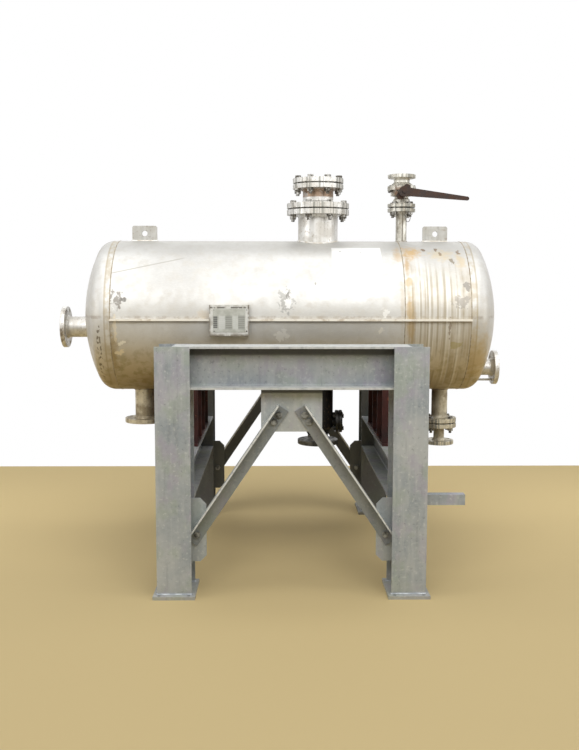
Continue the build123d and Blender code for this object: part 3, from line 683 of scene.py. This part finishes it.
# Plated studs and nuts, darkened towards near black as painted shade
studs = cloudy_finish(
    "plated_studs", 0.6, 60.0, 3.0, (0.38, 0.58), ((0.46, 0.45, 0.42), (0.08, 0.07, 0.055)),
    (0.32, 0.55), (0.0004, 0.3))
welds = weld_finish("weld_metal", (0.55, 0.53, 0.49), (0.24, 0.19, 0.14))
seam_welds = weld_finish("seam_welds", (0.44, 0.38, 0.28), (0.28, 0.22, 0.14), 0.3)
pale_welds = weld_finish("pale_welds", (0.84, 0.83, 0.79), (0.58, 0.52, 0.42), 0.3)
dark_wire = weld_finish("dark_wire", (0.10, 0.09, 0.08), (0.05, 0.045, 0.04))
zinc_bolts = weld_finish("zinc_bolts", (0.40, 0.41, 0.39), (0.05, 0.05, 0.045), 0.3)
zinc_welds = weld_finish("zinc_welds", (0.44, 0.46, 0.47), (0.30, 0.32, 0.34))

paint(long_course, "shell_long_course")
paint(end_course, "shell_end_course")
paint(heads, "head_left", "head_right")
paint(bar_finish(), "side_bars")
paint(lug_metal, "lifting_lug_left", "lifting_lug_right", "nozzle_stay")
paint(bracket_finish(), "nameplate_bracket")
paint(nameplate_finish(), "nameplate")
paint(fittings, "head_nozzle_right")
paint(left_nozzle_metal, "head_nozzle_left")
paint(top_fittings, "top_nozzle", "top_blind_flange")
paint(stained_fittings, "top_spool")
paint(valve_metal, "valve_nozzle", "valve_body")
paint(rusty_iron, "valve_lever", "valve_gland", "valve_stem")
paint(low_fittings, "drain_nozzle_left")
paint(drain_right_metal, "drain_nozzle_right", "drain_spool")
paint(shade_dark_fittings, "boot")
paint(grey_fittings, "boot_outlet")
paint(black_fitting, "boot_branch", "boot_blind_flange")
paint(gasket_finish(), "top_gasket_large", "top_gasket_small", "valve_gasket", "drain_gasket")
paint(primer_finish(), "saddle_left", "saddle_right")
paint(galvanised, *LEGS, "feet", "cross_beam_left", "cross_beam_right", "stub_tube")
paint(galvanised_braces, "braces")
paint(galvanised_beams, "top_beam_front", "top_beam_rear")
paint(galvanised_gussets, "gussets")


# Repeated pieces, made with Geometry Nodes

class Tree:
    """A Geometry Nodes tree being made: geometry in, named inputs, geometry out."""

    def __init__(self, name, inputs):
        self.group = bpy.data.node_groups.new(name, "GeometryNodeTree")
        sockets = self.group.interface
        sockets.new_socket("Geometry", in_out="INPUT", socket_type="NodeSocketGeometry")
        self.names = {}
        for label, kind in inputs.items():
            socket = sockets.new_socket(label, in_out="INPUT", socket_type="NodeSocket" + kind)
            self.names[label] = socket.identifier
        sockets.new_socket("Geometry", in_out="OUTPUT", socket_type="NodeSocketGeometry")
        self.start = self.group.nodes.new("NodeGroupInput")
        self.end = self.group.nodes.new("NodeGroupOutput")

    def node(self, kind, inputs=None, **settings):
        node = self.group.nodes.new(kind)
        for key, value in settings.items():
            setattr(node, key, value)
        for key, value in (inputs or {}).items():
            socket = node.inputs[key]
            if isinstance(value, bpy.types.NodeSocket):
                self.group.links.new(value, socket)
            else:
                socket.default_value = value
        return node

    def given(self, label):
        return self.start.outputs[label]

    def math(self, kind, a, b=0.0):
        return self.node("ShaderNodeMath", {0: a, 1: b}, operation=kind).outputs[0]

    def vector(self, z):
        return self.node("ShaderNodeCombineXYZ", {2: z}).outputs[0]

    def moved(self, geometry, z):
        return self.node("GeometryNodeTransform", {
            "Geometry": geometry, "Translation": self.vector(z)}).outputs[0]

    def join(self, *geometries):
        node = self.node("GeometryNodeJoinGeometry")
        for geometry in geometries:
            self.group.links.new(geometry, node.inputs[0])
        return node.outputs[0]

    def finish(self, geometry):
        """Ends the tree in Realize Instances and Set Material."""
        real = self.node("GeometryNodeRealizeInstances", {"Geometry": geometry})
        dressed = self.node("GeometryNodeSetMaterial",
                            {"Geometry": real.outputs[0], "Material": self.given("Material")})
        self.group.links.new(dressed.outputs[0], self.end.inputs[0])
        return self


NUT_FACE_WIDTH = 0.84
NUT_FACE_DEPTH = 1.08
FULL_TURN = 2 * pi


def stud_tree():
    """A bolt with its head up and a nut below, along the turned Z, at every point."""
    tree = Tree("stud_and_nuts", {
        "Turn": "Rotation", "Stud Radius": "Float", "Grip": "Float", "Nut Radius": "Float",
        "Nut Height": "Float", "Head Height": "Float", "Overhang": "Float", "Seed": "Int",
        "Material": "Material"})
    nut_radius = tree.given("Nut Radius")
    half_grip = tree.math("MULTIPLY", tree.given("Grip"), 0.5)

    def nut(height, way):
        """Hexagon with a turned face, standing outside one end of the grip."""
        hexagon = tree.node("GeometryNodeMeshCylinder", {
            "Vertices": 6, "Radius": nut_radius, "Depth": height})
        face = tree.node("GeometryNodeMeshCylinder", {
            "Vertices": 18, "Radius": tree.math("MULTIPLY", nut_radius, NUT_FACE_WIDTH),
            "Depth": tree.math("MULTIPLY", height, NUT_FACE_DEPTH)})
        both = tree.join(hexagon.outputs["Mesh"], face.outputs["Mesh"])
        reach = tree.math("ADD", half_grip, tree.math("MULTIPLY", height, 0.5))
        return tree.moved(both, tree.math("MULTIPLY", reach, way))

    tail = tree.math("ADD", tree.given("Nut Height"), tree.given("Overhang"))
    length = tree.math("ADD", tree.given("Grip"), tail)
    shank = tree.node("GeometryNodeMeshCylinder", {
        "Vertices": 14, "Radius": tree.given("Stud Radius"), "Depth": length})
    middle = tree.math("MULTIPLY", tail, -0.5)
    set_of_three = tree.join(
        nut(tree.given("Head Height"), 1.0), nut(tree.given("Nut Height"), -1.0),
        tree.moved(shank.outputs["Mesh"], middle))
    spin = tree.node("FunctionNodeRandomValue", {
        0: (0.0, 0.0, 0.0), 1: (0.0, 0.0, FULL_TURN), "Seed": tree.given("Seed")},
        data_type="FLOAT_VECTOR")
    spun = tree.node("FunctionNodeEulerToRotation", {0: spin.outputs[0]})
    turn = tree.node("FunctionNodeRotateRotation", {
        "Rotation": tree.given("Turn"), "Rotate By": spun.outputs[0]}, rotation_space="LOCAL")
    placed = tree.node("GeometryNodeInstanceOnPoints", {
        "Points": tree.given("Geometry"), "Instance": set_of_three, "Rotation": turn.outputs[0]})
    return tree.finish(placed.outputs["Instances"])


STEPS_A_RIPPLE = 3.0


def bead_tree():
    """A rippled weld bead along a line of edges."""
    tree = Tree("weld_bead", {
        "Bead Radius": "Float", "Ripple Pitch": "Float", "Ripple Depth": "Float", "Seed": "Int",
        "Material": "Material"})
    path = tree.node("GeometryNodeMeshToCurve", {"Mesh": tree.given("Geometry")})
    step = tree.math("DIVIDE", tree.given("Ripple Pitch"), STEPS_A_RIPPLE)
    dense = tree.node("GeometryNodeResampleCurve", {
        "Curve": path.outputs[0], 3: step}, mode="LENGTH")
    along = tree.node("GeometryNodeSplineParameter").outputs["Length"]
    phase = tree.math("DIVIDE", along, tree.given("Ripple Pitch"))
    wave = tree.math("SINE", tree.math("MULTIPLY", phase, FULL_TURN))
    wobble = tree.node("FunctionNodeRandomValue", {2: -0.5, 3: 0.5, "Seed": tree.given("Seed")})
    uneven = tree.math("ADD", wave, wobble.outputs[1])
    ripple = tree.math("MULTIPLY", uneven, tree.given("Ripple Depth"))
    radius = tree.math("ADD", tree.given("Bead Radius"), ripple)
    section = tree.node("GeometryNodeCurvePrimitiveCircle", {"Resolution": 7, "Radius": 1.0})
    bead = tree.node("GeometryNodeCurveToMesh", {
        "Curve": dense.outputs[0], "Profile Curve": section.outputs["Curve"], "Scale": radius,
        "Fill Caps": True})
    return tree.finish(bead.outputs["Mesh"])


def line_mesh(name, points, lines=()):
    mesh = bpy.data.meshes.new(name)
    mesh.from_pydata([tuple(point) for point in points], lines, [])
    return mesh


def grow(name, mesh, tree, sizes, body=BODY):
    """Runs a tree on a mesh and keeps the result as a plain piece on a body."""
    seed = bpy.data.objects.new(name + "_seed", mesh)
    scene.collection.objects.link(seed)
    modifier = seed.modifiers.new("tree", "NODES")
    modifier.node_group = tree.group
    for label, value in sizes.items():
        modifier[tree.names[label]] = value
    bpy.context.view_layer.update()
    evaluated = seed.evaluated_get(bpy.context.evaluated_depsgraph_get())
    grown = bpy.data.meshes.new_from_object(evaluated)
    seed.modifiers.clear()
    bpy.data.objects.remove(seed)
    piece = bpy.data.objects.new(name, grown)
    scene.collection.objects.link(piece)
    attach(piece, body)


stud_and_nuts = stud_tree()
weld_bead = bead_tree()
UP = Euler((0.0, 0.0, 0.0))
ALONG_X = Euler((0.0, pi / 2, 0.0))
FACING_FRONT = Euler((pi / 2, 0.0, 0.0))
FACING_BACK = Euler((-pi / 2, 0.0, 0.0))


# Studs, bolts and rivets

BOLTS = {  # shank radius, nut corner radius, nut height, head height
    "three_quarter": (0.0095, 0.0182, 0.019, 0.0125),
    "five_eighth": (0.0079, 0.0156, 0.0159, 0.010),
    "half": (0.0063, 0.0127, 0.0125, 0.008),
    "brace": (0.0080, 0.0170, 0.014, 0.010),
    "small": (0.0045, 0.0085, 0.007, 0.006),
    "rivet": (0.0025, 0.0038, 0.001, 0.0012),
}
LONG_OVERHANG = 0.013
SHORT_OVERHANG = 0.003


def studs_at(name, points, turn, size, grip, overhang, seed, material=studs):
    stud_r, nut_r, nut_h, head_h = BOLTS[size]
    grow(name, line_mesh(name, points), stud_and_nuts, {
        "Turn": turn, "Stud Radius": stud_r, "Grip": grip, "Nut Radius": nut_r,
        "Nut Height": nut_h, "Head Height": head_h, "Overhang": overhang, "Seed": seed,
        "Material": material})


def ring_points(middle, circle_r, count, turn):
    """Points on a bolt circle, astride its axes."""
    spin = turn.to_matrix()
    steps = [FULL_TURN * (step + 0.5) / count for step in range(count)]
    return [middle + spin @ Vector((circle_r * cos(a), circle_r * sin(a), 0.0)) for a in steps]


# Flange pairs: gasket between them, bolt circle radius, bolts, their size, clamped thickness, seed
for name, gasket, circle_r, count, size, grip, seed in (
    ("top_flange_studs", "top_gasket_large", 0.14925, 8, "three_quarter", 0.0634, 3),
    ("blind_flange_studs", "top_gasket_small", 0.12065, 8, "three_quarter", 0.057, 5),
    ("valve_flange_studs", "valve_gasket", 0.06035, 4, "five_eighth", 0.0444, 7),
    ("drain_flange_studs", "drain_gasket", 0.0762, 4, "five_eighth", 0.054, 9),
):
    studs_at(name, ring_points(centre(gasket), circle_r, count, UP), UP, size, grip,
             LONG_OVERHANG, seed)

VALVE_RING_UP = 0.10375
VALVE_RING_R = 0.0693
BRANCH_CIRCLE_R = 0.0492
valve = Vector((centre("valve_gasket").x, 0.0, low("valve_body").z))
valve_ring = ring_points(valve + Vector((0, 0, VALVE_RING_UP)), VALVE_RING_R, 8, UP)
studs_at("valve_ring_studs", valve_ring, UP, "small", 0.0205, SHORT_OVERHANG, 11)
branch = Vector((low("boot_blind_flange").x, 0.0, centre("boot_blind_flange").z))
branch_ring = ring_points(branch, BRANCH_CIRCLE_R, 4, ALONG_X)
studs_at("boot_branch_studs", branch_ring, ALONG_X, "half", 0.0382, SHORT_OVERHANG, 13,
         black_fitting)


def brace_bolts():
    """Bolts through each brace and its gussets, two above and one below, heads outward."""
    places, in_from_edge = (0.038, 0.078, 0.742), 0.034
    grip = GUSSET_PLATE + BRACE_PLATE
    out_from_leg = LEG_Y + (grip - GUSSET_PLATE) / 2
    for front, turn, name in ((-1, FACING_FRONT, "front"), (1, FACING_BACK, "rear")):
        points = []
        for side in (-1, 1):
            for along in places:
                out = along * cos(BRACE_SLOPE) - in_from_edge * sin(BRACE_SLOPE)
                down = along * sin(BRACE_SLOPE) + in_from_edge * cos(BRACE_SLOPE)
                points.append((side * (BRACE_TOP_X + out), front * out_from_leg,
                               high("braces").z - down))
        studs_at("brace_bolts_" + name, points, turn, "brace", grip, 0.004, 17, zinc_bolts)


def nameplate_rivets():
    """Rivets at the plate's left corners and near the bracket's right edge."""
    inset, grip = 0.006, 0.004
    plate_low, plate_high = low("nameplate"), high("nameplate")
    face = plate_low.y + grip / 2
    right = high("nameplate_bracket").x - 2 * inset
    points = [(x, face, z) for x in (plate_low.x + inset, right)
              for z in (plate_low.z + inset, plate_high.z - inset)]
    studs_at("nameplate_rivets", points, FACING_FRONT, "rivet", grip, 0.0, 61)


brace_bolts()


# Weld beads

RIPPLE_PITCH = 0.006
SEAM_SINK = 0.0014
SEAM_BEAD_R = 0.0030
PIPE_BEAD_R = 0.005
PALE_BEAD_R = 0.0055
FOOT_BEAD_R = 0.006


def bead(name, points, radius, seed, material=welds, depth=0.0003):
    """A closed weld bead through the points."""
    count = len(points)
    lines = [(step, (step + 1) % count) for step in range(count)]
    grow(name, line_mesh(name, points, lines), weld_bead, {
        "Bead Radius": radius, "Ripple Pitch": RIPPLE_PITCH, "Ripple Depth": depth, "Seed": seed,
        "Material": material})


def circle(count=96):
    """Angles of equal steps round a circle."""
    return [FULL_TURN * step / count for step in range(count)]


def seam(x):
    """A ring round the shell, a little below its face."""
    radius = SHELL_R - SEAM_SINK
    return [(x, radius * cos(a), AXIS_Z + radius * sin(a)) for a in circle(160)]


def pipe_on_shell(x, pipe_r, side):
    """Where an upright pipe meets the shell, on its top (side 1) or its underside (side -1)."""
    points = []
    for a in circle():
        y = pipe_r * sin(a)
        z = AXIS_Z + side * sqrt(SHELL_R ** 2 - y ** 2)
        points.append((x + pipe_r * cos(a), y, z))
    return points


def head_x(off_axis):
    """How far the head's surface is from the vessel's middle, at that distance off its axis."""
    crown_x = HEAD_TIP - HEAD_CROWN_R
    knuckle_y = SHELL_R - HEAD_KNUCKLE_R
    join = HEAD_CROWN_R * knuckle_y / (HEAD_CROWN_R - HEAD_KNUCKLE_R)
    if off_axis < join:
        return crown_x + sqrt(HEAD_CROWN_R ** 2 - off_axis ** 2)
    knuckle_x = crown_x + sqrt((HEAD_CROWN_R - HEAD_KNUCKLE_R) ** 2 - knuckle_y ** 2)
    return knuckle_x + sqrt(max(HEAD_KNUCKLE_R ** 2 - (off_axis - knuckle_y) ** 2, 0.0))


def pipe_on_head(z, pipe_r, side):
    """Where a level pipe meets the right head (side 1) or the left one (side -1)."""
    points = []
    for a in circle():
        y = pipe_r * cos(a)
        up = z + pipe_r * sin(a)
        points.append((MIDDLE + side * head_x(sqrt(y ** 2 + (up - AXIS_Z) ** 2)), y, up))
    return points


def rectangle(left, right, near, far, z):
    return [(left, near, z), (right, near, z), (right, far, z), (left, far, z)]


def foot_welds():
    """Beads where the legs' flanges stand on their feet."""
    top = high("feet").z + 0.001
    for index, node in enumerate(LEGS):
        start, end = low(node), high(node)
        for part, near, far in (("front", start.y, start.y + SECTION_FLANGE),
                                ("back", end.y - SECTION_FLANGE, end.y)):
            bead(node + "_" + part + "_weld", rectangle(start.x, end.x, near, far, top),
                 FOOT_BEAD_R, 40 + index, zinc_welds)


def tie_ring():
    """Small wire ring hanging from a stud under the valve."""
    middle = valve + Vector((0.028, -0.060, -0.058))
    wide, deep, tall = 0.013, 0.003, 0.022
    points = [middle + Vector((wide * cos(a), deep * sin(a), tall * sin(a))) for a in circle(40)]
    bead("tie_ring", points, 0.0017, 60, dark_wire, 0.0)


for name, x, seed in (
    ("girth_weld", GIRTH_SEAM, 21),
    ("left_head_weld", MIDDLE - HEAD_SEAM, 22),
    ("right_head_weld", MIDDLE + HEAD_SEAM, 23),
):
    bead(name, seam(x), SEAM_BEAD_R, seed, seam_welds, 0.00015)

# Pipes on the shell: CAD node, radius that the bead runs at, side, bead radius, seed, metal
for name, node, run_r, side, bead_r, seed, metal in (
    ("top_nozzle_weld", "top_nozzle", 0.1105, 1, PALE_BEAD_R, 24, pale_welds),
    ("valve_nozzle_weld", "valve_nozzle", 0.031, 1, 0.004, 25, welds),
    ("left_drain_weld", "drain_nozzle_left", 0.058, -1, PIPE_BEAD_R, 26, welds),
    ("right_drain_weld", "drain_nozzle_right", 0.0453, -1, PIPE_BEAD_R, 27, welds),
    ("boot_weld", "boot", 0.085, -1, PIPE_BEAD_R, 28, welds),
):
    bead(name, pipe_on_shell(centre(node).x, run_r, side), bead_r, seed, metal)

for name, node, run_r, side, seed in (
    ("left_head_nozzle_weld", "head_nozzle_left", 0.058, -1, 29),
    ("right_head_nozzle_weld", "head_nozzle_right", 0.0453, 1, 30),
):
    bead(name, pipe_on_head(centre(node).z, run_r, side), PIPE_BEAD_R, seed)

for lug, seed in (("lifting_lug_left", 31), ("lifting_lug_right", 32)):
    start, end = low(lug), high(lug)
    bead(lug + "_weld", rectangle(start.x, end.x, start.y, end.y, start.z), PALE_BEAD_R, seed,
         pale_welds)

foot_welds()
tie_ring()
nameplate_rivets()


# Floor, light and camera

FLOOR_FRONT = -9.0
FLOOR_BACK = 2.22
FLOOR_SIDE = 9.0
FLOOR_TINT = (0.60, 0.47, 0.235)


def floor_finish():
    """Plain pale floor, paler towards the back as painted light that evens out the lamps' falloff."""
    finish = Finish("pale_floor")
    finish.base = FLOOR_TINT
    finish.lay(finish.noise(1.2, 3.0), 0.25, scaled(FLOOR_TINT, 0.94))
    # Painted light: paler towards the back
    finish.lay(finish.fade(finish.y, -1.2, 1.4), 1.0, scaled(FLOOR_TINT, 1.6))
    finish.rough(0.8)
    return finish.done()


def plane(name, corners, material):
    mesh = bpy.data.meshes.new(name)
    mesh.from_pydata(corners, [], [tuple(range(len(corners)))])
    sheet = bpy.data.objects.new(name, mesh)
    mesh.materials.append(material)
    scene.collection.objects.link(sheet)


plane("floor", [(-FLOOR_SIDE, FLOOR_FRONT, 0), (FLOOR_SIDE, FLOOR_FRONT, 0),
                (FLOOR_SIDE, FLOOR_BACK, 0), (-FLOOR_SIDE, FLOOR_BACK, 0)], floor_finish())


def soft_light(name, spot, target, size, power):
    data = bpy.data.lights.new(name, "AREA")
    data.shape = "RECTANGLE"
    data.size, data.size_y = size
    data.energy = power
    lamp = bpy.data.objects.new(name, data)
    scene.collection.objects.link(lamp)
    lamp.location = spot
    lamp.rotation_euler = (Vector(target) - Vector(spot)).to_track_quat("-Z", "Y").to_euler()


soft_light("ceiling_light", (0.0, -1.0, 4.6), (0.0, 0.0, 1.2), (7.0, 3.5), 108.0)
soft_light("front_light", (0.4, -4.9, 4.3), (0.0, 0.0, 1.2), (7.0, 2.2), 190.0)
soft_light("back_light", (0.0, 3.4, 4.2), (0.0, 1.4, 0.0), (7.0, 1.5), 34.0)
soft_light("left_light", (-4.4, -1.6, 2.4), (-0.9, 0.0, 1.3), (2.5, 2.5), 36.0)
soft_light("right_light", (4.4, -1.6, 2.4), (0.9, 0.0, 1.3), (2.5, 2.5), 36.0)


def studio_world(fill):
    """Even fill light of that strength, seen directly and in reflections as plain white."""
    world = bpy.data.worlds.new("studio")
    scene.world = world
    world.use_nodes = True
    nodes, links = world.node_tree.nodes, world.node_tree.links
    rays = nodes.new("ShaderNodeLightPath")
    seen = rays.outputs["Is Camera Ray"]
    for kind in ("Is Glossy Ray", "Is Transmission Ray"):
        either = nodes.new("ShaderNodeMath")
        either.operation = "MAXIMUM"
        links.new(seen, either.inputs[0])
        links.new(rays.outputs[kind], either.inputs[1])
        seen = either.outputs[0]
    strength = nodes.new("ShaderNodeMapRange")
    links.new(seen, strength.inputs["Value"])
    strength.inputs["To Min"].default_value = fill
    strength.inputs["To Max"].default_value = 1.0
    background = nodes["Background"]
    background.inputs["Color"].default_value = (1.0, 1.0, 1.0, 1.0)
    links.new(strength.outputs[0], background.inputs["Strength"])


studio_world(0.08)

# Fitted to the photo: lens in millimetres from its focal length in pixels, angles in degrees
SENSOR = 36.0
PICTURE_HEIGHT = 750.0
FOCAL_PIXELS = 920.0
PAN, TILT_DOWN, ROLL = -0.903, 5.978, 0.097

camera_data = bpy.data.cameras.new("camera")
camera_data.lens = FOCAL_PIXELS * SENSOR / PICTURE_HEIGHT
camera = bpy.data.objects.new("camera", camera_data)
scene.collection.objects.link(camera)
camera.location = (-0.0795, -5.156, 1.517)
camera.rotation_euler = (
    Matrix.Rotation(radians(PAN), 4, "Z") @ Matrix.Rotation(radians(90 - TILT_DOWN), 4, "X")
    @ Matrix.Rotation(radians(ROLL), 4, "Z")).to_euler()
scene.camera = camera
